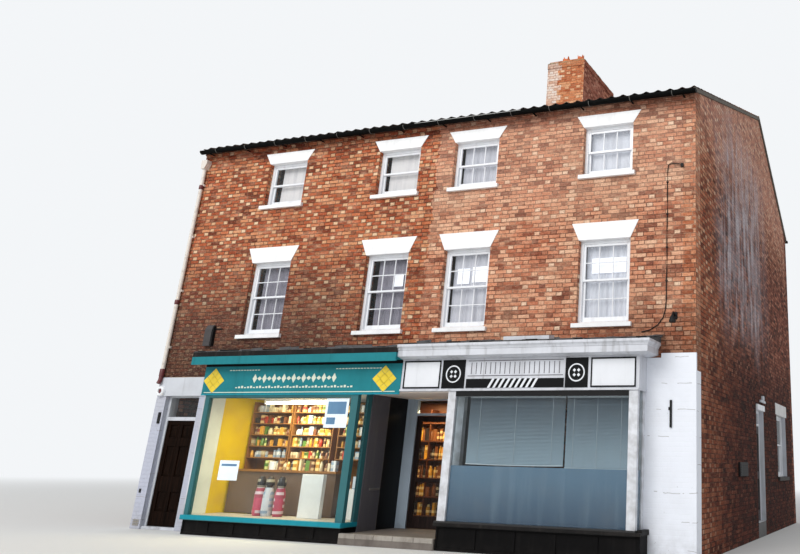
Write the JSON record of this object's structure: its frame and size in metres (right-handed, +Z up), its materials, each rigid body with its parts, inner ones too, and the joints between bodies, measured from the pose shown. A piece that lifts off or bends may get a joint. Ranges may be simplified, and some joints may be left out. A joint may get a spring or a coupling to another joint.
{
  "type": "corner shop building",
  "caption": "Three-storey brick corner building with a low-pitched roof, sash windows, a ridge chimney and two shopfronts beside a recessed entrance.",
  "frame": {"origin": "centre of the plan box at pavement level, under the walls", "axes": "+X along the street face towards the gable, -Y out of the street face, +Z up"},
  "size_m": [11.56, 11.506, 12.31],
  "materials": {
    "concrete": "rough",
    "floor_timber": "worn boards",
    "street_brick": "weathered brick in pale mortar",
    "gable_brick": "dark weathered brick",
    "party_brick": "plain brick",
    "wall_render": "painted render",
    "roof_tile": "weathered clay tile",
    "stack_brick": "weathered brick",
    "pot_clay": "broken clay",
    "gutter_iron": "worn black paint",
    "pipe_paint": "cream gloss paint",
    "painted_stone": "white masonry paint",
    "window_paint": "white gloss paint",
    "window_glass": "clear",
    "side_door_wood": "dark red gloss paint",
    "brown_wood": "brown varnish",
    "teal_paint": "teal gloss paint",
    "white_paint": "white paint, grimy at the foot",
    "shop_glass": "clear",
    "black_paint": "black paint, dusty",
    "grey_paint": "dark grey paint",
    "door_post_paint": "pale blue-white gloss paint",
    "shop_door_wood": "dark paint",
    "step_stone": "worn stone",
    "yellow_board": "yellow laminate"
  },
  "bodies": {
    "building": {"ground_floor": "concrete", "upper_floors": "floor_timber", "front_wall": "street_brick", "left_piers": "white_paint", "right_pier": "white_paint", "shop_beam": "wall_render", "side_wall": "gable_brick", "gable_wall": "gable_brick", "back_wall": "gable_brick", "party_wall": "party_brick", "eaves_course": "street_brick", "roof_front": "roof_tile", "roof_back": "roof_tile", "ridge_tiles": "roof_tile", "chimney_stack": "stack_brick", "chimney_pots": "pot_clay", "gutters": "gutter_iron", "front_downpipe": "pipe_paint", "window_lintels": "painted_stone", "window_sills": "painted_stone", "upper_frames": "window_paint", "first_frames": "window_paint", "street_glass": "window_glass", "rear_frames": "window_paint", "rear_glass": "window_glass", "rear_dressings": "painted_stone", "side_door_frame": "window_paint", "left_door_frame": "window_paint", "door_lights": "window_glass", "left_fascia": "teal_paint", "left_cornice": "teal_paint", "left_shop_frame": "teal_paint", "right_fascia": "white_paint", "right_cornice": "white_paint", "right_shop_frame": "white_paint", "shop_glass": "shop_glass", "stallrisers": "black_paint", "lobby_lining": "grey_paint", "shop_door_frame": "door_post_paint", "entrance_step": "step_stone", "shop_fittings": "yellow_board"},
    "left_door": {"left_door": "brown_wood"},
    "shop_door": {"shop_door": "shop_door_wood", "shop_door_glass": "shop_glass"},
    "side_door": {"side_door": "side_door_wood"}
  },
  "joints": [
    {"name": "left_door_hinge", "type": "hinge", "parent": "building", "child": "left_door", "pos_m": [-4.71, -4.954, 1.05], "axis": [0, 0, 1], "range_deg": [-88, 0]},
    {"name": "shop_door_hinge", "type": "hinge", "parent": "building", "child": "shop_door", "pos_m": [-0.249, -3.889, 1.2], "axis": [0, 0, 1], "range_deg": [0, 88]},
    {"name": "side_door_hinge", "type": "hinge", "parent": "building", "child": "side_door", "pos_m": [5.561, 0.914, 1.3], "axis": [0, 0, 1], "range_deg": [-88, 0]}
  ]
}
